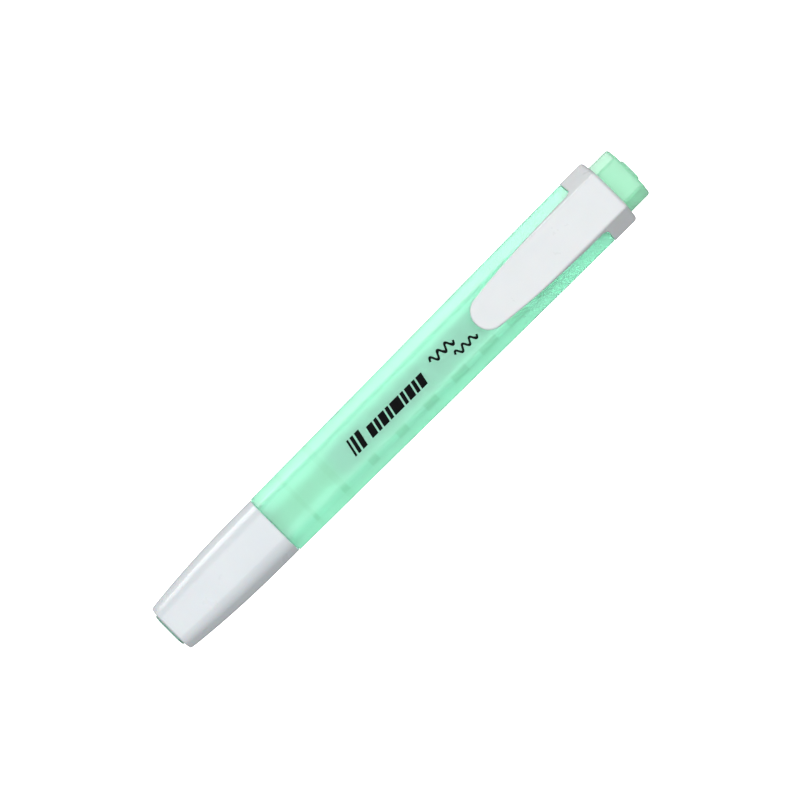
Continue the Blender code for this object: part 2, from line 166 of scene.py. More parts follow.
def corners(section):
    """The section's eight unrounded corners, anticlockwise seen from the plug's end, with their radii."""
    side, flat = section.half_width, section.flat
    low, high = AXIS_Z - section.upright, AXIS_Z + section.upright
    edge, turn = section.edge_radius, section.side_radius
    return [
        (Vector((side, low)), turn),
        (Vector((side, high)), turn),
        (Vector((flat, section.top)), edge),
        (Vector((-flat, section.top)), edge),
        (Vector((-side, high)), turn),
        (Vector((-side, low)), turn),
        (Vector((-flat, section.bottom)), edge),
        (Vector((flat, section.bottom)), edge),
    ]


def ring(section, x):
    """The section's rounded outline at one place along the pen."""
    points = []
    sharp = corners(section)
    for i, (corner, radius) in enumerate(sharp):
        before = (corner - sharp[i - 1][0]).normalized()
        after = (sharp[(i + 1) % len(sharp)][0] - corner).normalized()
        turn = before.angle(after)
        centre = corner + (after - before).normalized() * radius / math.cos(turn / 2)
        start = math.atan2(-before.x, before.y)
        for step in range(ARC_STEPS + 1):
            angle = start + turn * step / ARC_STEPS
            y = centre.x + radius * math.cos(angle)
            z = centre.y + radius * math.sin(angle)
            points.append((x, y, z))
    return points


def rounded_end(x, section, radius, outward):
    """Stations that round an end's edge, up to its face at x. Outward is 1 towards the plug, or -1."""
    stations = []
    for step in range(EDGE_STEPS + 1):
        angle = math.pi / 2 * step / EDGE_STEPS
        back = radius * (1 - math.sin(angle))
        stations.append((x - outward * back, inset(section, radius * (1 - math.cos(angle)))))
    return stations


def filled_in(stations):
    """The stations with more of them between any that lie far apart, so that no face is long and thin."""
    full = [stations[0]]
    for (start, first), (end, second) in zip(stations, stations[1:]):
        steps = max(1, math.ceil(abs(end - start) / LOFT_STEP))
        for step in range(1, steps + 1):
            share = step / steps
            full.append((start + (end - start) * share, between(first, second, share)))
    return full


def loft(name, stations, tube):
    """A closed skin over (x, section) stations: a tube's walls in one loop, or a body with filled ends."""
    form = bmesh.new()
    loops = [[form.verts.new(p) for p in ring(section, x)] for x, section in filled_in(stations)]
    pairs = list(zip(loops, loops[1:]))
    if tube:
        pairs.append((loops[-1], loops[0]))
    for near, far in pairs:
        for i in range(len(near)):
            j = (i + 1) % len(near)
            form.faces.new((near[i], near[j], far[j], far[i]))
    if not tube:
        form.faces.new(loops[0])
        form.faces.new(loops[-1])
    bmesh.ops.recalc_face_normals(form, faces=form.faces)
    return add_mesh(name, form)


def add_mesh(name, form):
    """Turns a bmesh into a named object."""
    mesh = bpy.data.meshes.new(name)
    form.to_mesh(mesh)
    form.free()
    return add_object(name, mesh)


def add_object(name, mesh):
    """Puts a mesh in the scene as a named object, shaded smooth between sharp edges."""
    mesh.shade_smooth()
    mesh.set_sharp_from_angle(angle=SHARP_ANGLE)
    thing = bpy.data.objects.new(name, mesh)
    bpy.context.scene.collection.objects.link(thing)
    return thing


# ---------------------------------------------------------------- distance functions

SETTLE_ROUNDS = 4  # steps that bring a new net's points on to the surface
RELAX_ROUNDS = 3  # times that the net is evened out
RESETTLE_ROUNDS = 2  # steps back on to the surface each time
LEAST_SLOPE_SQUARED = 0.25  # keeps a step short where the distance hardly changes
CELL_CORNERS = 8


def both(a, b, radius, turn=math.pi / 2):
    """What lies in both shapes, with the edge between them rounded. Its faces are this turn apart."""
    u, v = a + radius, b + radius
    cosine = math.cos(turn)
    corner = np.sqrt(np.maximum(u * u + v * v - 2 * u * v * cosine, 0)) / math.sin(turn) - radius
    return np.where((u > v * cosine) & (v > u * cosine), corner, np.maximum(a, b))


def either(a, b, radius):
    """What lies in either shape, with a fillet between them."""
    corner = np.hypot(np.maximum(radius - a, 0), np.maximum(radius - b, 0))
    return np.maximum(np.minimum(a, b), radius) - corner


def hexagon(section, y, z):
    """Distance to a section's outline, from its flats and slopes, with its corners rounded."""
    across = np.abs(y)
    rise = section.top - AXIS_Z - section.upright
    fall = AXIS_Z - section.upright - section.bottom
    run = section.half_width - section.flat
    upper = math.hypot(rise, run)
    lower = math.hypot(fall, run)
    side = across - section.half_width
    high = z - section.top
    low = section.bottom - z
    slope_up = ((across - section.flat) * rise + (z - section.top) * run) / upper
    slope_down = ((across - section.flat) * fall + (section.bottom - z) * run) / lower
    turn_up, turn_down = math.atan2(rise, run), math.atan2(fall, run)
    upper_half = both(high, slope_up, section.edge_radius, turn_up)
    upper_half = both(upper_half, side, section.side_radius, math.pi / 2 - turn_up)
    lower_half = both(low, slope_down, section.edge_radius, turn_down)
    lower_half = both(lower_half, side, section.side_radius, math.pi / 2 - turn_down)
    return np.where(z > AXIS_Z, upper_half, lower_half)


def gradient(distance, points, step=1e-6):
    """How fast the distance grows along each axis, at each point."""
    slopes = np.empty_like(points)
    for axis in range(3):
        ahead, behind = points.copy(), points.copy()
        ahead[:, axis] += step
        behind[:, axis] -= step
        slopes[:, axis] = (distance(ahead) - distance(behind)) / (2 * step)
    return slopes


def settle(distance, points, rounds):
    """Moves points on to the surface where the distance is nought."""
    for _ in range(rounds):
        slopes = gradient(distance, points)
        size = np.maximum((slopes**2).sum(axis=1), LEAST_SLOPE_SQUARED)
        points = points - slopes * (distance(points) / size)[:, None]
    return points


def surface_net(name, distance, low, high, cell):
    """Meshes a distance function: a vertex in each grid cell that its surface crosses, moved on to it."""
    axes = [np.arange(a, b + cell, cell) for a, b in zip(low, high)]
    grid = np.stack(np.meshgrid(*axes, indexing="ij"), axis=-1)
    inside = distance(grid.reshape(-1, 3)).reshape(grid.shape[:3]) < 0
    held = np.zeros(np.array(inside.shape) - 1, int)
    for dx in (0, 1):
        for dy in (0, 1):
            for dz in (0, 1):
                held += inside[
                    dx : dx + held.shape[0], dy : dy + held.shape[1], dz : dz + held.shape[2]
                ]
    crossed = (held > 0) & (held < CELL_CORNERS)
    number = np.full(held.shape, -1)
    number[crossed] = np.arange(crossed.sum())
    points = np.array([a[0] for a in axes]) + (np.argwhere(crossed) + 0.5) * cell

    quads = []
    for axis in range(3):
        u, v = (axis + 1) % 3, (axis + 2) % 3
        first = np.take(inside, range(inside.shape[axis] - 1), axis)
        second = np.take(inside, range(1, inside.shape[axis]), axis)
        for leaving in (True, False):
            edges = np.argwhere((first & ~second) if leaving else (~first & second))
            around = []
            for back_u, back_v in ((1, 1), (0, 1), (0, 0), (1, 0)):
                cells = edges.copy()
                cells[:, u] -= back_u
                cells[:, v] -= back_v
                around.append(number[tuple(cells.T)])
            quads.append(np.stack(around if leaving else around[::-1], axis=1))
    quads = np.concatenate(quads)

    points = settle(distance, points, SETTLE_ROUNDS)
    for _ in range(RELAX_ROUNDS):
        points = settle(distance, relaxed(points, quads), RESETTLE_ROUNDS)
    mesh = bpy.data.meshes.new(name)
    mesh.from_pydata(points.tolist(), [], quads.tolist())
    mesh.update()
    return add_object(name, mesh)


def relaxed(points, quads):
    """Each point moved half way to the middle of its neighbours."""
    total = np.zeros_like(points)
    count = np.zeros(len(points))
    for i in range(4):
        for near in (quads[:, i - 1], quads[:, (i + 1) % 4]):
            np.add.at(total, quads[:, i], points[near])
            np.add.at(count, quads[:, i], 1)
    return (points + total / count[:, None]) / 2


# ---------------------------------------------------------------- materials

NOISE_LOW, NOISE_HIGH = 0.3, 0.7  # most of a noise pattern's values lie between these
PLASTIC_IOR = 1.49


def material_of(name, colour, roughness, **sockets):
    """A Principled material with its plain values. Further sockets are given with _ for each space."""
    material = bpy.data.materials.new(name)
    material.use_nodes = True
    shader = material.node_tree.nodes["Principled BSDF"]
    shader.inputs["Base Color"].default_value = (*colour, 1.0)
    shader.inputs["Roughness"].default_value = roughness
    for socket, value in sockets.items():
        shader.inputs[socket.replace("_", " ")].default_value = value
    return material


def add_node(material, kind, **settings):
    """Adds a node to a material or world, and sets its inputs or its own properties by name."""
    node = material.node_tree.nodes.new(kind)
    for name, value in settings.items():
        if name in node.inputs:
            node.inputs[name].default_value = value
        else:
            setattr(node, name, value)
    return node


def join(material, source, target):
    material.node_tree.links.new(source, target)


def surface_noise(material, size, detail=2.0, stretch=(1, 1, 1)):
    """A noise pattern fixed to the object, with features of about this size in metres."""
    place = add_node(material, "ShaderNodeTexCoord")
    mapping = add_node(material, "ShaderNodeMapping")
    mapping.inputs["Scale"].default_value = tuple(s / size for s in stretch)
    noise = add_node(material, "ShaderNodeTexNoise", Scale=1.0, Detail=detail, Roughness=0.55)
    join(material, place.outputs["Object"], mapping.inputs["Vector"])
    join(material, mapping.outputs["Vector"], noise.inputs["Vector"])
    return noise.outputs["Fac"]


def ramp(material, value, start, end, low=0.0, high=1.0, smooth=False):
    """Maps the values from start to end to those from low to high, in a straight line or smoothed."""
    node = add_node(material, "ShaderNodeMapRange")
    if smooth:
        node.interpolation_type = "SMOOTHSTEP"
    node.inputs["From Min"].default_value = start
    node.inputs["From Max"].default_value = end
    node.inputs["To Min"].default_value = low
    node.inputs["To Max"].default_value = high
    join(material, value, node.inputs["Value"])
    return node.outputs["Result"]


def spread(material, noise, low, high):
    """Stretches a noise pattern to a range of values."""
    return ramp(material, noise, NOISE_LOW, NOISE_HIGH, low, high)


def vary_roughness(material, low, high, size):
    """Uneven gloss, as handling and moulding leave it."""
    shader = material.node_tree.nodes["Principled BSDF"]
    patches = surface_noise(material, size, detail=4.0)
    join(material, spread(material, patches, low, high), shader.inputs["Roughness"])


def add_bump(material, layers):
    """Relief from (pattern, height in metres) layers, one on top of the other."""
    shader = material.node_tree.nodes["Principled BSDF"]
    normal = None
    for pattern, height in layers:
        bump = add_node(material, "ShaderNodeBump", Strength=1.0, Distance=height)
        join(material, pattern, bump.inputs["Height"])
        if normal:
            join(material, normal, bump.inputs["Normal"])
        normal = bump.outputs["Normal"]
    join(material, normal, shader.inputs["Normal"])


def mixed_colour(material, share, first, second):
    """The colour this share of the way from the first to the second. Either can be a node's output."""
    node = add_node(material, "ShaderNodeMix", data_type="RGBA")
    for socket, value in ((node.inputs[6], first), (node.inputs[7], second)):
        if isinstance(value, bpy.types.NodeSocket):
            join(material, value, socket)
        else:
            socket.default_value = (*value, 1.0)
    join(material, share, node.inputs[0])
    return node.outputs[2]


def linear(red, green, blue):
    """A colour given in everyday 0 to 255 values, as the linear values that shaders take."""

    def one(value):
        value /= 255
        return value / 12.92 if value <= 0.04045 else ((value + 0.055) / 1.055) ** 2.4

    return one(red), one(green), one(blue)


def number(material, operation, *values):
    """A Math node over sockets and plain numbers."""
    node = add_node(material, "ShaderNodeMath", operation=operation)
    for socket, value in zip(node.inputs, values):
        if isinstance(value, bpy.types.NodeSocket):
            join(material, value, socket)
        else:
            socket.default_value = value
    return node.outputs[0]


RIB_BLUR = 0.25 * MM  # half the length over which a rib's ends fade
CREASE_SHADE_FULL, CREASE_SHADE_END = 0.3 * MM, 1.2 * MM  # how far from the -Y crease the painted shade is full, and where it ends
WHOLE_RIBS = 2  # how many of the first ribs show right across the barrel
WHOLE_RIB_SHADE = 0.3  # how strongly they do


def rib_and_crease_painted_shade(material):
    """Darker where a rib in the barrel shows through: painted shade where the ribs meet the crease on the -Y
    side, away from the lamps, and a faint tint of thicker plastic across the first few.
    """
    place = add_node(material, "ShaderNodeTexCoord")
    split = add_node(material, "ShaderNodeSeparateXYZ")
    join(material, place.outputs["Object"], split.inputs[0])
    past_first = number(material, "SUBTRACT", split.outputs["X"], RIB_FIRST)
    pitches = number(material, "DIVIDE", past_first, RIB_PITCH)
    index = number(material, "ROUND", pitches)
    off_middle = number(material, "ABSOLUTE", number(material, "SUBTRACT", pitches, index))
    away = number(material, "MULTIPLY", off_middle, RIB_PITCH)
    length = number(material, "MULTIPLY_ADD", index, RIB_LENGTH_STEP, RIB_LENGTH_FIRST)
    past_end = number(material, "SUBTRACT", away, number(material, "DIVIDE", length, 2.0))
    on_rib = ramp(material, past_end, RIB_BLUR, -RIB_BLUR, smooth=True)
    off_crease = number(material, "ABSOLUTE", number(material, "ADD", split.outputs["Y"], BARREL_CREASE))
    painted_crease_shade = ramp(material, off_crease, CREASE_SHADE_END, CREASE_SHADE_FULL, smooth=True)
    is_whole = number(material, "LESS_THAN", index, WHOLE_RIBS - 0.5)
    amount = number(material, "MAXIMUM", painted_crease_shade, number(material, "MULTIPLY", is_whole, WHOLE_RIB_SHADE))
    is_rib = number(material, "COMPARE", index, (RIB_COUNT - 1) / 2, RIB_COUNT / 2)
    return number(material, "MULTIPLY", number(material, "MULTIPLY", on_rib, amount), is_rib)


def tinted_plastic(name, colour, cloud_colour, density, clearness, painted_rib_shade=False):
    """Frosted see-through plastic: light spreads as it passes, and takes on more tint in thicker parts. It
    has a faint painted glow, and can have painted shade over its ribs.
    """
    material = material_of(
        name,
        colour,
        0.6,
        Transmission_Weight=clearness,
        IOR=PLASTIC_IOR,
        Coat_Weight=1.0,
        Coat_IOR=1.65,
        Coat_Roughness=0.2,
        # a faint painted glow that lifts the plastic's brightness, though it is no lamp
        Emission_Strength=0.025,
    )
    tree = material.node_tree
    shader = tree.nodes["Principled BSDF"]
    shader.inputs["Emission Color"].default_value = (*PAINTED_GLOW_COLOUR, 1.0)
    clouds = surface_noise(material, size=9 * MM, stretch=(0.4, 1, 1))
    tint = mixed_colour(material, spread(material, clouds, low=0.0, high=0.35), colour, cloud_colour)
    if painted_rib_shade:
        # painted shade over the ribs at the -Y crease, and a faint tint across the first ribs
        tint = mixed_colour(material, rib_and_crease_painted_shade(material), tint, MINT_RIB_PAINTED_SHADE)
    join(material, tint, shader.inputs["Base Color"])
    vary_roughness(material, low=0.55, high=0.65, size=6 * MM)
    waviness = surface_noise(material, size=5 * MM, stretch=(0.3, 1, 1))
    frosting = surface_noise(material, size=0.25 * MM)
    add_bump(material, [(waviness, 0.012 * MM), (frosting, 0.0015 * MM)])
    volume = tree.nodes.new("ShaderNodeVolumeAbsorption")
    volume.inputs["Color"].default_value = (*MINT_PASSED, 1.0)
    volume.inputs["Density"].default_value = density
    tree.links.new(volume.outputs[0], tree.nodes["Material Output"].inputs["Volume"])
    return material


def white_plastic(name, colour, shade):
    """Opaque white moulding with a satin surface."""
    material = material_of(
        name,
        colour,
        0.3,
        Subsurface_Weight=0.15,
        Subsurface_Scale=0.8 * MM,
        IOR=PLASTIC_IOR,
        Coat_Weight=1.0,
        Coat_IOR=1.6,
        Coat_Roughness=0.2,
    )
    clouds = spread(material, surface_noise(material, size=7 * MM), low=0.0, high=0.5)
    tint = mixed_colour(material, clouds, colour, shade)
    join(material, tint, material.node_tree.nodes["Principled BSDF"].inputs["Base Color"])
    vary_roughness(material, low=0.26, high=0.36, size=4 * MM)
    waviness = surface_noise(material, size=4 * MM)
    grain = surface_noise(material, size=0.18 * MM, detail=3.0)
    add_bump(material, [(waviness, 0.01 * MM), (grain, 0.003 * MM)])
    return material


def felt(name, wet, dry, painted_glow):
    """Bonded fibre soaked with fluorescent ink: streaks along the pen, no gloss, and a painted glow that
    stands for the ink's fluorescence.
    """
    material = material_of(name, wet, 0.9, Sheen_Weight=0.25, Sheen_Roughness=0.5, Emission_Strength=painted_glow)
    shader = material.node_tree.nodes["Principled BSDF"]
    shader.inputs["Emission Color"].default_value = (*PAINTED_GLOW_COLOUR, 1.0)
    streaks = surface_noise(material, size=0.12 * MM, detail=3.0, stretch=(0.06, 1, 1))
    tint = mixed_colour(material, spread(material, streaks, low=0.0, high=1.0), wet, dry)
    join(material, tint, shader.inputs["Base Color"])
    add_bump(material, [(streaks, 0.05 * MM), (surface_noise(material, size=0.08 * MM), 0.02 * MM)])
    return material


def clear_film(name):
    """Thin clear film, nearly invisible but for its gloss."""
    material = material_of(name, FILM_CLEAR, 0.12, Transmission_Weight=0.85, IOR=1.45)
    wrinkles = surface_noise(material, size=3 * MM, stretch=(0.2, 1, 1))
    add_bump(material, [(wrinkles, 0.03 * MM)])
    return material


def printed_ink(name):
    """Black pad-printed ink, slightly uneven in cover."""
    material = material_of(name, INK_BLACK, 0.5, Specular_IOR_Level=0.06)
    vary_roughness(material, low=0.38, high=0.55, size=0.4 * MM)
    add_bump(material, [(surface_noise(material, size=0.15 * MM), 0.004 * MM)])
    return material


# colour of the painted glow on the felt and on the tinted plastic
PAINTED_GLOW_COLOUR = (0.15, 1.0, 0.72)
MINT, MINT_CLOUD = (0.61, 0.955, 0.825), (0.59, 0.945, 0.81)
MINT_RIB_PAINTED_SHADE = (0.46, 0.76, 0.62)  # where a rib shows through: a tint of thicker plastic, and painted shade at the -Y crease
MINT_PASSED = (0.0, 0.96, 0.6)  # the light that the plastic's depth lets through
PLUG_MINT, PLUG_MINT_CLOUD = (0.59, 0.83, 0.695), (0.57, 0.82, 0.68)
LINER_MINT, LINER_MINT_CLOUD = (0.24, 0.5, 0.4), (0.22, 0.46, 0.37)
CAP_WHITE, CAP_SHADE = linear(230, 234, 236), linear(222, 228, 231)
CLIP_WHITE, CLIP_SHADE = linear(234, 236, 236), linear(226, 230, 230)
NIB_WET, NIB_DRY = linear(120, 224, 180), linear(150, 236, 200)
CORE_WET, CORE_DRY = (0.80, 0.96, 0.90), (0.88, 0.97, 0.93)
FILM_CLEAR = linear(232, 244, 240)
INK_BLACK = (0.002, 0.002, 0.0025)

barrel_plastic = tinted_plastic(
    "barrel_plastic", MINT, MINT_CLOUD, density=78.0, clearness=0.75, painted_rib_shade=True
)
plug_plastic = tinted_plastic("plug_plastic", PLUG_MINT, PLUG_MINT_CLOUD, density=170.0, clearness=0.5)
liner_plastic = tinted_plastic("liner_plastic", LINER_MINT, LINER_MINT_CLOUD, density=150.0, clearness=0.3)
cap_plastic = white_plastic("cap_plastic", CAP_WHITE, CAP_SHADE)
clip_plastic = white_plastic("clip_plastic", CLIP_WHITE, CLIP_SHADE)
# the nib and the core get a painted glow that stands for the ink's fluorescence
nib_felt = felt("nib_felt", NIB_WET, NIB_DRY, painted_glow=0.05)
core_fibre = felt("core_fibre", CORE_WET, CORE_DRY, painted_glow=0.27)
film_plastic = clear_film("film_plastic")
print_ink = printed_ink("print_ink")


def show(piece, material, body, slot, *nodes):
    """Gives a piece its material and its body, if it rides on one, and lets it stand for CAD nodes."""
    piece.data.materials.append(material)
    if body:
        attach(piece, body)
    if nodes:
        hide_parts(*nodes)


# ---------------------------------------------------------------- sections that pieces share

BARREL_FRONT_SECTION = Section(
    half_width=BARREL_HALF_WIDTH_FRONT, bottom=0.0, top=BARREL_TOP_FRONT,
    flat=4.5 * MM, upright=1.0 * MM, edge_radius=2.2 * MM, side_radius=2.6 * MM,
)
BARREL_REAR_SECTION = Section(
    half_width=BARREL_HALF_WIDTH_REAR, bottom=0.0, top=BARREL_TOP_REAR,
    flat=4.75 * MM, upright=1.1 * MM, edge_radius=1.4 * MM, side_radius=2.4 * MM,
)
SEAT_SECTION = centred(
    half_width=5.6 * MM, half_height=3.9 * MM,
    flat=3.7 * MM, upright=0.8 * MM, edge_radius=1.6 * MM, side_radius=1.8 * MM,
)
PLUG_SECTION = centred(
    half_width=PLUG_HALF_WIDTH, half_height=4.0 * MM,
    flat=3.75 * MM, upright=0.8 * MM, edge_radius=1.0 * MM, side_radius=1.6 * MM,
)
PAD_SECTION = centred(
    half_width=2.4 * MM, half_height=2.0 * MM,
    flat=1.6 * MM, upright=0.6 * MM, edge_radius=0.7 * MM, side_radius=0.7 * MM,
)
NOZZLE_SECTION = centred(
    half_width=3.0 * MM, half_height=2.25 * MM,
    flat=2.1 * MM, upright=0.9 * MM, edge_radius=0.7 * MM, side_radius=0.9 * MM,
)
NIB_CHANNEL_SECTION = centred(
    half_width=2.4 * MM, half_height=1.65 * MM,
    flat=2.0 * MM, upright=1.25 * MM, edge_radius=0.2 * MM, side_radius=0.2 * MM,
)
BORE_SECTION = centred(
    half_width=5.0 * MM, half_height=3.7 * MM,
    flat=3.3 * MM, upright=1.2 * MM, edge_radius=1.6 * MM, side_radius=1.6 * MM,
)
NECK_SECTION = Section(
    half_width=5.95 * MM, bottom=0.85 * MM, top=9.6 * MM,
    flat=4.2 * MM, upright=1.3 * MM, edge_radius=1.2 * MM, side_radius=1.5 * MM,
)
SPIGOT_SECTION = inset(BORE_SECTION, SLIP)
RIB_SECTION = centred(
    half_width=4.7 * MM, half_height=3.6 * MM,
    flat=3.1 * MM, upright=1.1 * MM, edge_radius=1.5 * MM, side_radius=1.5 * MM,
)
CAP_MOUTH_SECTION = Section(
    half_width=CAP_HALF_WIDTH, bottom=0.0, top=CAP_TOP,
    flat=4.6 * MM, upright=0.9 * MM, edge_radius=3.3 * MM, side_radius=3.0 * MM,
)
CAP_END_SECTION = centred(
    half_width=5.35 * MM, half_height=3.9 * MM,
    flat=3.6 * MM, upright=0.7 * MM, edge_radius=2.4 * MM, side_radius=2.2 * MM,
)
LINER_SECTION = centred(
    half_width=3.77 * MM, half_height=2.95 * MM,
    flat=2.7 * MM, upright=1.0 * MM, edge_radius=1.0 * MM, side_radius=1.3 * MM,
)
COLLAR_SECTION = Section(
    half_width=COLLAR_HALF_WIDTH, bottom=0.0, top=CLIP_TOP,
    flat=4.45 * MM, upright=1.1 * MM, edge_radius=0.45 * MM, side_radius=1.85 * MM,
)


# ---------------------------------------------------------------- barrel


def barrel_top(x):
    """Height of the barrel's upper flat at a place along the pen."""
    share = (x - SHOULDER) / (COLLAR_SEAT - SHOULDER)
    return BARREL_TOP_FRONT + share * (BARREL_TOP_REAR - BARREL_TOP_FRONT)


def rib_stations(index):
    """The bore's steps over one rib, from its rear to its front."""
    middle = RIB_FIRST + index * RIB_PITCH
    half_length = (RIB_LENGTH_FIRST + index * RIB_LENGTH_STEP) / 2
    return [
        (middle + half_length + RIB_SLOPE, BORE_SECTION),
        (middle + half_length, RIB_SECTION),
        (middle - half_length, RIB_SECTION),
        (middle - half_length - RIB_SLOPE, BORE_SECTION),
    ]


def cap_bead():
    """The stations of the low ring on the seat that the cap snaps over."""
    middle, height, half_length, half_steps = -36.6 * MM, 0.12 * MM, 0.6 * MM, 4
    stations = []
    for step in range(-half_steps, half_steps + 1):
        bulge = height * (1 + math.cos(math.pi * step / half_steps)) / 2
        stations.append((middle + half_length * step / half_steps, inset(SEAT_SECTION, -bulge)))
    return stations


def make_barrel():
    """Nozzle, cap seat, ribbed body and neck in one moulding, open from end to end."""
    seat_front, nozzle_base = -43.0 * MM, -46.6 * MM
    nozzle_radius, front_radius, rear_radius, neck_radius = 0.35 * MM, 0.2 * MM, 0.12 * MM, 0.25 * MM
    lead, flare, chamfer, shave = 0.3 * MM, 0.2 * MM, 0.3 * MM, 0.08 * MM
    seat_wall, channel_rear = 1.2 * MM, seat_front - 1.4 * MM
    bore_front, seat_bore_rear = SHOULDER + 1.5 * MM, SHOULDER - 1.0 * MM

    outside = rounded_end(NOZZLE_FRONT, NOZZLE_SECTION, nozzle_radius, -1)[::-1]
    outside += [
        (nozzle_base, NOZZLE_SECTION),
        (nozzle_base + lead, inset(NOZZLE_SECTION, -flare)),
        (seat_front - lead, inset(SEAT_SECTION, chamfer)),
        (seat_front, inset(SEAT_SECTION, shave)),
        (seat_front + lead, SEAT_SECTION),
    ]
    outside += cap_bead()
    outside.append((SHOULDER, SEAT_SECTION))
    outside += rounded_end(SHOULDER, BARREL_FRONT_SECTION, front_radius, -1)[::-1]
    outside += rounded_end(COLLAR_SEAT, BARREL_REAR_SECTION, rear_radius, 1)
    outside.append((COLLAR_SEAT, NECK_SECTION))
    outside += rounded_end(NECK_END, NECK_SECTION, neck_radius, 1)

    inside = [(NECK_END, BORE_SECTION)]
    for index in reversed(range(RIB_COUNT)):
        inside += rib_stations(index)
    inside += [
        (bore_front, BORE_SECTION),
        (seat_bore_rear, inset(SEAT_SECTION, seat_wall)),
        (seat_front + seat_wall, inset(SEAT_SECTION, seat_wall)),
        (channel_rear, NIB_CHANNEL_SECTION),
        (NOZZLE_FRONT, NIB_CHANNEL_SECTION),
    ]
    barrel = loft("barrel_moulding", outside + inside, tube=True)
    show(barrel, barrel_plastic, "pen", "barrel", "barrel")


# ---------------------------------------------------------------- print

PRINT_LIFT = 0.004 * MM
PRINT_THICKNESS = 0.012 * MM
BAR_SLANT = 0.22  # how far a bar leans for its height
WAVE_STEPS = 20  # for each turn of a wave
WAVE_WIDTH = 0.42 * MM


def add_outline(form, outline):
    """Adds a flat printed shape from its (x, y) outline, lying on the barrel's upper flat."""
    low = [form.verts.new((x, y, barrel_top(x) + PRINT_LIFT)) for x, y in outline]
    high = [form.verts.new(v.co + Vector((0, 0, PRINT_THICKNESS))) for v in low]
    form.faces.new(low[::-1])
    form.faces.new(high)
    for i in range(len(low)):
        j = (i + 1) % len(low)
        form.faces.new((low[i], low[j], high[j], high[i]))


def slanted_bar(start, width, low, high):
    """A leaning bar's outline, anticlockwise seen from above."""
    lean = BAR_SLANT * (high - low)
    return [(start, low), (start + width, low), (start + width + lean, high), (start + lean, high)]


def stroke(centre_line, width):
    """A pen stroke's outline along a centre line, with its ends cut square to it."""
    left, right = [], []
    for i, point in enumerate(centre_line):
        before = centre_line[max(i - 1, 0)]
        after = centre_line[min(i + 1, len(centre_line) - 1)]
        along = (after - before).normalized()
        across = Vector((-along.y, along.x)) * width / 2
        left.append(tuple(point + across))
        right.append(tuple(point - across))
    return right + left[::-1]


def wave(start, end, middle, height, turns):
    """A wavy centre line between two places along the pen."""
    steps = WAVE_STEPS * turns
    return [
        Vector(
            (
                start + (end - start) * i / steps,
                middle + height * math.sin(2 * math.pi * turns * i / steps),
            )
        )
        for i in range(steps + 1)
    ]


def add_bars(form, start, widths, gap, low, high):
    """A row of leaning bars with even gaps between them."""
    for width in widths:
        add_outline(form, slanted_bar(start, width * MM, low, high))
        start += width * MM + gap


def make_print():
    """Plain marks in place of a maker's: three strokes, a band of bars and two waves."""
    strokes = (0.45, 0.75, 1.15)
    band = (1.5, 0.8, 1.5, 0.8, 2.4, 0.8, 1.5, 0.8, 1.5)
    form = bmesh.new()
    add_bars(form, -13.6 * MM, strokes, gap=0.45 * MM, low=-1.7 * MM, high=1.7 * MM)
    add_bars(form, -8.8 * MM, band, gap=0.4 * MM, low=-1.5 * MM, high=0.95 * MM)
    upper = wave(9.2 * MM, 15.2 * MM, middle=1.0 * MM, height=0.75 * MM, turns=3)
    lower = wave(13.6 * MM, 19.2 * MM, middle=-1.4 * MM, height=0.6 * MM, turns=3)
    add_outline(form, stroke(upper, WAVE_WIDTH))
    add_outline(form, stroke(lower, WAVE_WIDTH))
    bmesh.ops.recalc_face_normals(form, faces=form.faces)
    marks = add_mesh("barrel_print", form)
    show(marks, print_ink, "pen", "barrel")


# ---------------------------------------------------------------- end plug


def make_end_plug():
    """A hollow spigot that goes into the bore, and a solid block with a pad on its end behind the collar."""
    wall, floor, edge = 0.8 * MM, 0.5 * MM, 0.1 * MM
    taper, taper_length = 0.3 * MM, 0.5 * MM
    rear_radius, pad_radius = 0.65 * MM, 0.3 * MM
    hollow = inset(SPIGOT_SECTION, wall)
    stations = [
        (PLUG_SEAT - floor, hollow),
        (SPIGOT_FRONT, hollow),
        (SPIGOT_FRONT, inset(SPIGOT_SECTION, taper)),
        (SPIGOT_FRONT + taper_length, SPIGOT_SECTION),
        (PLUG_SEAT, SPIGOT_SECTION),
        (PLUG_SEAT, inset(PLUG_SECTION, edge)),
        (PLUG_SEAT + edge, PLUG_SECTION),
    ]
    stations += rounded_end(PLUG_REAR, PLUG_SECTION, rear_radius, 1)
    stations.append((PLUG_REAR, PAD_SECTION))
    stations += rounded_end(PAD_REAR, PAD_SECTION, pad_radius, 1)
    plug = loft("end_plug_moulding", stations, tube=False)
    show(plug, plug_plastic, "pen", "end_plug", "end_plug")


# ---------------------------------------------------------------- clip moulding

CLIP_TIP_HALF_WIDTH = 3.13 * MM
CLIP_ROOT_HALF_WIDTH = 5.03 * MM
CLIP_BOW = 1.95 * MM  # how much the sides swell outwards between the tip and the root
CLIP_TIP_RADIUS = 3.4 * MM
CLIP_ROOT_X = COLLAR_FRONT - 1.3 * MM
CLIP_GAP_TIP = 0.85 * MM
CLIP_GAP_ROOT = 0.35 * MM
NUB_X = 23.6 * MM
NUB_RADIUS = 0.7 * MM
NUB_GAP = 0.3 * MM
NUB_HALF_LENGTH = 2.5 * MM
NUB_FILLET = 0.3 * MM
COLLAR_REAR_RADIUS = 0.8 * MM
CLIP_ROOT_FILLET = 1.1 * MM  # in the corners between the clip and the collar
CLIP_EDGE_RADIUS = 0.3 * MM
CLIP_LOWER_RADIUS = 0.25 * MM
CLIP_ROOM_RADIUS = 0.05 * MM  # at the collar end of the room left for the barrel
SOCKET_WALL = 1.1 * MM  # what is left of the collar behind the barrel's neck
CLIP_CELL = 0.2 * MM  # of the grid that the clip is meshed on


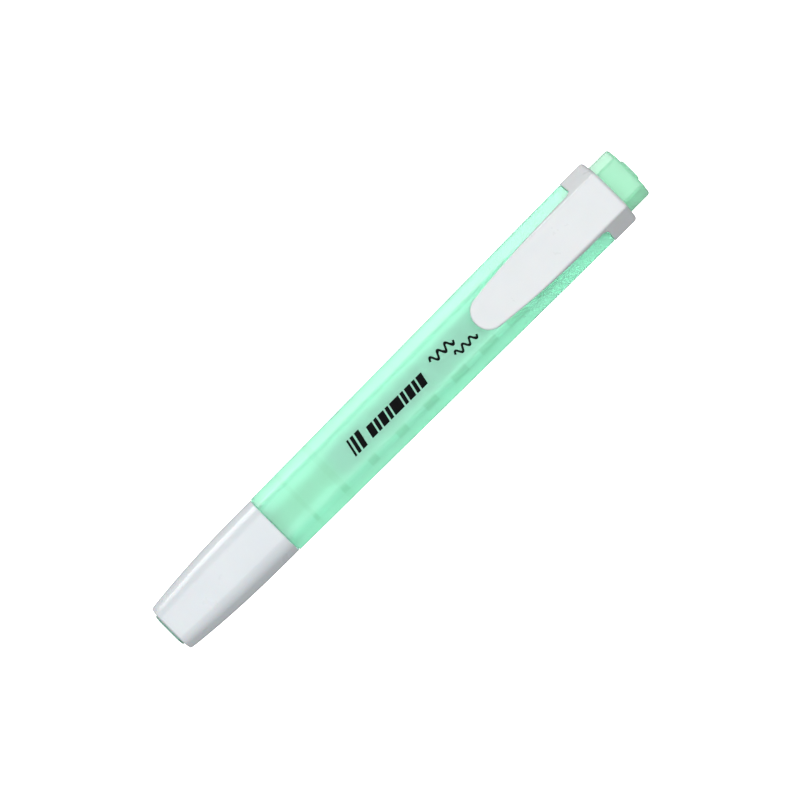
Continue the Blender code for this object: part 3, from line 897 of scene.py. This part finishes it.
def clip_plan(x, y):
    """Distance to the clip's outline seen from above: slightly bowed tapered sides and a round tip."""
    growth = CLIP_ROOT_HALF_WIDTH - CLIP_TIP_HALF_WIDTH
    share = np.clip((x - CLIP_TIP) / (CLIP_ROOT_X - CLIP_TIP), 0, 1)
    half_width = CLIP_TIP_HALF_WIDTH + growth * share + CLIP_BOW * share * (1 - share)
    lean = math.atan2(growth + CLIP_BOW, CLIP_ROOT_X - CLIP_TIP)
    sides = (np.abs(y) - half_width) * math.cos(lean)
    return both(sides, CLIP_TIP - x, CLIP_TIP_RADIUS, math.pi / 2 - lean)


def clip_distance(points):
    """The collar and the clip as one moulding: a hexagonal prism, cut away around the clip and the barrel."""
    x, y, z = points.T
    prism = hexagon(COLLAR_SECTION, y, z)
    prism = both(prism, x - COLLAR_REAR, COLLAR_REAR_RADIUS)
    plan = either(COLLAR_FRONT - x, clip_plan(x, y), CLIP_ROOT_FILLET)
    outer = both(prism, plan, CLIP_EDGE_RADIUS)

    along = np.clip((x - CLIP_TIP) / (COLLAR_FRONT - CLIP_TIP), 0, 1)
    gap = CLIP_GAP_TIP + (CLIP_GAP_ROOT - CLIP_GAP_TIP) * along**2
    taper = (BARREL_TOP_REAR - BARREL_TOP_FRONT) / (COLLAR_SEAT - SHOULDER)
    lowered = z + taper * (COLLAR_SEAT - x)
    room = hexagon(BARREL_REAR_SECTION, y, lowered) - gap
    room = both(room, x - COLLAR_FRONT, CLIP_ROOM_RADIUS)
    nub_height = barrel_top(NUB_X) + NUB_GAP + NUB_RADIUS
    nub = np.hypot(x - NUB_X, z - nub_height) - NUB_RADIUS
    nub = both(nub, np.abs(y) - NUB_HALF_LENGTH, CLIP_EDGE_RADIUS)
    arm = either(both(outer, -room, CLIP_LOWER_RADIUS), nub, NUB_FILLET)

    socket = hexagon(inset(NECK_SECTION, -SLIP), y, z)
    socket = np.maximum(socket, x - (COLLAR_REAR - SOCKET_WALL))
    opening = hexagon(inset(SPIGOT_SECTION, -SLIP), y, z)
    return np.maximum(arm, -np.minimum(socket, opening))


def make_clip():
    margin = 0.5 * MM
    low = (CLIP_TIP - margin, -COLLAR_HALF_WIDTH - margin, -margin)
    high = (COLLAR_REAR + margin, COLLAR_HALF_WIDTH + margin, CLIP_TOP + margin)
    clip = surface_net("clip_moulding", clip_distance, low, high, CLIP_CELL)
    show(clip, clip_plastic, None, "clip", "clip_collar", "clip_arm")
    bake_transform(clip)


# ---------------------------------------------------------------- cap


CAP_CURVE = 2.5  # the higher, the later and the faster the cap narrows


def cap_section(x):
    """The cap's outer section: it narrows ever faster from the mouth to the end."""
    share = min(max((x - CAP_FRONT) / CAP_LENGTH, 0.0), 1.0)
    return between(CAP_END_SECTION, CAP_MOUTH_SECTION, 1 - (1 - share) ** CAP_CURVE)


def make_cap():
    """The outer shell, with an opening in its end for the liner."""
    wall, end_wall, steps = 0.8 * MM, 1.0 * MM, 28
    end_radius, rim_radius = 0.4 * MM, 0.3 * MM
    mouth_chamfer, mouth_depth = 0.15 * MM, 0.2 * MM
    opening = inset(LINER_SECTION, -SLIP)
    first, last = CAP_FRONT + end_radius, CAP_RIM - rim_radius
    places = [first + (last - first) * (step / steps) for step in range(1, steps)]
    outside = rounded_end(CAP_FRONT, cap_section(CAP_FRONT), end_radius, -1)[::-1]
    outside += [(x, cap_section(x)) for x in places]
    outside += rounded_end(CAP_RIM, cap_section(CAP_RIM), rim_radius, 1)
    inner_places = [CAP_FRONT + end_wall, *[x for x in places if x > CAP_FRONT + 2 * end_wall]]
    inside = [
        (CAP_RIM, inset(cap_section(CAP_RIM), wall - mouth_chamfer)),
        (CAP_RIM - mouth_depth, inset(cap_section(CAP_RIM), wall)),
    ]
    inside += [(x, inset(cap_section(x), wall)) for x in reversed(inner_places)]
    inside += [(CAP_FRONT + end_wall, opening), (CAP_FRONT, opening)]
    cap = loft("cap_moulding", outside + inside, tube=True)
    show(cap, cap_plastic, "cap", "cap_shell", "cap_shell")


def make_cap_liner():
    """A cup that closes on the nozzle, with a flange that holds it in the shell."""
    wall, floor, edge, front_radius = 0.5 * MM, 1.2 * MM, 0.1 * MM, 0.25 * MM
    flange_rear, flange_front, flange_inset = LINER_RIM - 1.0 * MM, LINER_RIM - 1.8 * MM, 1.0 * MM
    hollow = inset(LINER_SECTION, wall)
    flange = inset(cap_section(flange_front), flange_inset)
    stations = [
        (LINER_FRONT + floor, hollow),
        (LINER_RIM, hollow),
        (LINER_RIM, inset(LINER_SECTION, edge)),
        (LINER_RIM - edge, LINER_SECTION),
        (flange_rear, LINER_SECTION),
        (flange_rear, inset(flange, edge)),
        (flange_rear - edge, flange),
        (flange_front + edge, flange),
        (flange_front, inset(flange, edge)),
        (flange_front, LINER_SECTION),
    ]
    stations += rounded_end(LINER_FRONT, LINER_SECTION, front_radius, -1)
    liner = loft("cap_liner_moulding", stations, tube=False)
    show(liner, liner_plastic, "cap", "cap_liner", "cap_liner")


# ---------------------------------------------------------------- nib and reservoir

NIB_HALF_WIDTH = 2.2 * MM
NIB_HALF_HEIGHT = 1.45 * MM
NIB_SLANT = math.radians(42)
NIB_BEVEL = math.radians(33)
NIB_RADIUS = 0.35 * MM  # along the nib's four long edges
NIB_REAR_RADIUS = 0.15 * MM
NIB_EDGE_RADIUS = 0.12 * MM
NIB_EDGE_HALF_HEIGHT = 0.2 * MM
NIB_TAIL_NARROWING = 0.8 * MM
NIB_TAIL_SLOPE = 0.3
NIB_TAIL_RADIUS = 0.3 * MM
NIB_CELL = 0.16 * MM  # of the grid that the nib is meshed on


def nib_distance(points):
    """The felt nib: a flat bar with a slanted chisel edge in front and a narrowed tail."""
    x, y, z = points.T
    z = z - AXIS_Z
    bar = both(np.abs(y) - NIB_HALF_WIDTH, np.abs(z) - NIB_HALF_HEIGHT, NIB_RADIUS)
    bar = both(bar, x - NIB_TAIL, NIB_REAR_RADIUS)
    from_edge = (x - NIB_TIP) * math.cos(NIB_SLANT) - (NIB_HALF_WIDTH - y) * math.sin(NIB_SLANT)
    blade = (np.abs(z) - NIB_EDGE_HALF_HEIGHT) * math.cos(NIB_BEVEL) - from_edge * math.sin(NIB_BEVEL)
    bar = both(bar, blade, NIB_EDGE_RADIUS)
    tail = np.abs(y) - NIB_HALF_WIDTH + NIB_TAIL_NARROWING + (x - NIB_TAIL) * NIB_TAIL_SLOPE
    return both(bar, tail / math.hypot(1, NIB_TAIL_SLOPE), NIB_TAIL_RADIUS)


def make_nib():
    margin = 0.3 * MM
    low = (NIB_TIP - margin, -NIB_HALF_WIDTH - margin, AXIS_Z - NIB_HALF_HEIGHT - margin)
    high = (NIB_TAIL + margin, NIB_HALF_WIDTH + margin, AXIS_Z + NIB_HALF_HEIGHT + margin)
    nib = surface_net("felt_nib", nib_distance, low, high, NIB_CELL)
    show(nib, nib_felt, "pen", "nib", "nib")


ROUND_SIDES = 96
FLUTES = 24


def round_loop(form, x, radius, flute_depth=0.0):
    """A circle of vertices round the pen's axis, fluted where a depth is given."""
    loop = []
    for i in range(ROUND_SIDES):
        angle = 2 * math.pi * i / ROUND_SIDES
        reach = radius - flute_depth * (0.5 + 0.5 * math.cos(FLUTES * angle))
        loop.append(
            form.verts.new((x, reach * math.cos(angle), AXIS_Z + reach * math.sin(angle)))
        )
    return loop


def bridge(form, loops):
    """Joins each loop to the next with faces."""
    for near, far in zip(loops, loops[1:]):
        for i in range(len(near)):
            j = (i + 1) % len(near)
            form.faces.new((near[i], near[j], far[j], far[i]))


def make_reservoir():
    """The fibre bundle with a fluted outside and soft ends, and the film wrapped round it."""
    form = bmesh.new()
    soft, flute_depth = 0.3 * MM, 0.06 * MM
    pocket_end, pocket_end_radius, pocket_radius = NIB_TAIL + 0.2 * MM, 1.6 * MM, 2.7 * MM
    pocket = [
        round_loop(form, pocket_end, pocket_end_radius),
        round_loop(form, CORE_FRONT, pocket_radius),
    ]
    outside = [
        round_loop(form, CORE_FRONT, CORE_RADIUS - soft),
        round_loop(form, CORE_FRONT + soft, CORE_RADIUS, flute_depth),
        round_loop(form, CORE_REAR - soft, CORE_RADIUS, flute_depth),
        round_loop(form, CORE_REAR, CORE_RADIUS - soft),
    ]
    loops = pocket + outside
    bridge(form, loops)
    form.faces.new(loops[0])
    form.faces.new(loops[-1])
    bmesh.ops.recalc_face_normals(form, faces=form.faces)
    core = add_mesh("fibre_core", form)
    show(core, core_fibre, "pen", "reservoir_core", "reservoir_core")

    form = bmesh.new()
    wall = 0.12 * MM
    loops = [
        round_loop(form, CORE_FRONT, FILM_RADIUS),
        round_loop(form, CORE_REAR, FILM_RADIUS),
        round_loop(form, CORE_REAR, FILM_RADIUS - wall),
        round_loop(form, CORE_FRONT, FILM_RADIUS - wall),
    ]
    bridge(form, loops + loops[:1])
    bmesh.ops.recalc_face_normals(form, faces=form.faces)
    film = add_mesh("film_wrap", form)
    show(film, film_plastic, "pen", "reservoir_film", "reservoir_film")


# ---------------------------------------------------------------- stage, light and camera

VIEW_WIDTH = 153.2 * MM  # what the square picture takes in
LENS, SENSOR = 200.0, 36.0
PEN_ANGLE = math.radians(45)  # the pen leans this far from the picture's level
FLOOR_DROP = 0.1 * MM  # keeps the floor from lying in the same plane as the barrel's underside
FLOOR_HALF_SIZE = 3.0
FLOOR_LEVEL = 1.9  # how bright it is, where white is 1
SKY_LOW, SKY_HIGH = -0.1, 1.0  # upward parts of a direction, between which the sky's light changes
WHITE = (1.0, 1.0, 1.0, 1.0)
SKY_COLOUR = (0.95, 0.975, 1.0, 1.0)


def make_floor():
    """A bright white table, seen only by the camera and by light that has come through clear plastic."""
    form = bmesh.new()
    bmesh.ops.create_grid(form, x_segments=1, y_segments=1, size=FLOOR_HALF_SIZE)
    floor = add_mesh("floor", form)
    floor.location.z = -FLOOR_DROP
    material = material_of("floor_white", (0.0, 0.0, 0.0), 1.0, Specular_IOR_Level=0.0)
    shader = material.node_tree.nodes["Principled BSDF"]
    shader.inputs["Emission Color"].default_value = WHITE
    shader.inputs["Emission Strength"].default_value = FLOOR_LEVEL
    floor.data.materials.append(material)
    floor.visible_diffuse = False
    floor.visible_glossy = False
    floor.visible_shadow = False


def make_world(above, below):
    """Soft light all round, from one level overhead to another from below. The camera sees it as white."""
    world = bpy.data.worlds.new("studio")
    world.use_nodes = True
    tree = world.node_tree
    around = tree.nodes["Background"]
    around.inputs["Color"].default_value = SKY_COLOUR
    place = tree.nodes.new("ShaderNodeTexCoord")
    split = tree.nodes.new("ShaderNodeSeparateXYZ")
    tree.links.new(place.outputs["Generated"], split.inputs[0])
    level = ramp(world, split.outputs["Z"], SKY_LOW, SKY_HIGH, below, above, smooth=True)
    tree.links.new(level, around.inputs["Strength"])
    path = tree.nodes.new("ShaderNodeLightPath")
    white = tree.nodes.new("ShaderNodeBackground")
    white.inputs["Color"].default_value = WHITE
    mix = tree.nodes.new("ShaderNodeMixShader")
    tree.links.new(path.outputs["Is Camera Ray"], mix.inputs[0])
    tree.links.new(around.outputs[0], mix.inputs[1])
    tree.links.new(white.outputs[0], mix.inputs[2])
    tree.links.new(mix.outputs[0], tree.nodes["World Output"].inputs["Surface"])
    bpy.context.scene.world = world


def softbox(name, elevation, distance, width, height, level):
    """A soft rectangular lamp on the +Y side, aimed at the pen: it lights but isn't seen.

    Its level is the brightness of its face, where white is 1, and its elevation is in degrees.
    """
    lamp = bpy.data.lights.new(name, "AREA")
    lamp.shape = "RECTANGLE"
    lamp.size = width
    lamp.size_y = height
    lamp.energy = level * width * height * math.pi
    thing = bpy.data.objects.new(name, lamp)
    angle = math.radians(elevation)
    away = Vector((0.0, math.cos(angle), math.sin(angle)))
    thing.location = away * distance + Vector((0.0, 0.0, AXIS_Z))
    thing.rotation_euler = away.to_track_quat("Z", "Y").to_euler()
    thing.visible_camera = False
    bpy.context.scene.collection.objects.link(thing)


def make_camera():
    data = bpy.data.cameras.new("camera")
    data.lens = LENS
    data.sensor_width = SENSOR
    camera = bpy.data.objects.new("camera", data)
    distance = VIEW_WIDTH * LENS / SENSOR
    camera.location = (0.0, 0.0, CLIP_TOP / 2 + distance)
    camera.rotation_euler = (0.0, 0.0, -PEN_ANGLE)
    bpy.context.scene.collection.objects.link(camera)
    bpy.context.scene.camera = camera


bpy.context.scene.view_settings.view_transform = "Standard"
make_barrel()
make_print()
make_end_plug()
make_clip()
make_cap()
make_cap_liner()
make_nib()
make_reservoir()
make_floor()
make_world(above=0.78, below=0.26)
softbox("key", elevation=84, distance=0.8, width=1.0, height=0.6, level=1.2)
softbox("side", elevation=-8, distance=0.8, width=0.5, height=0.65, level=2.5)
make_camera()
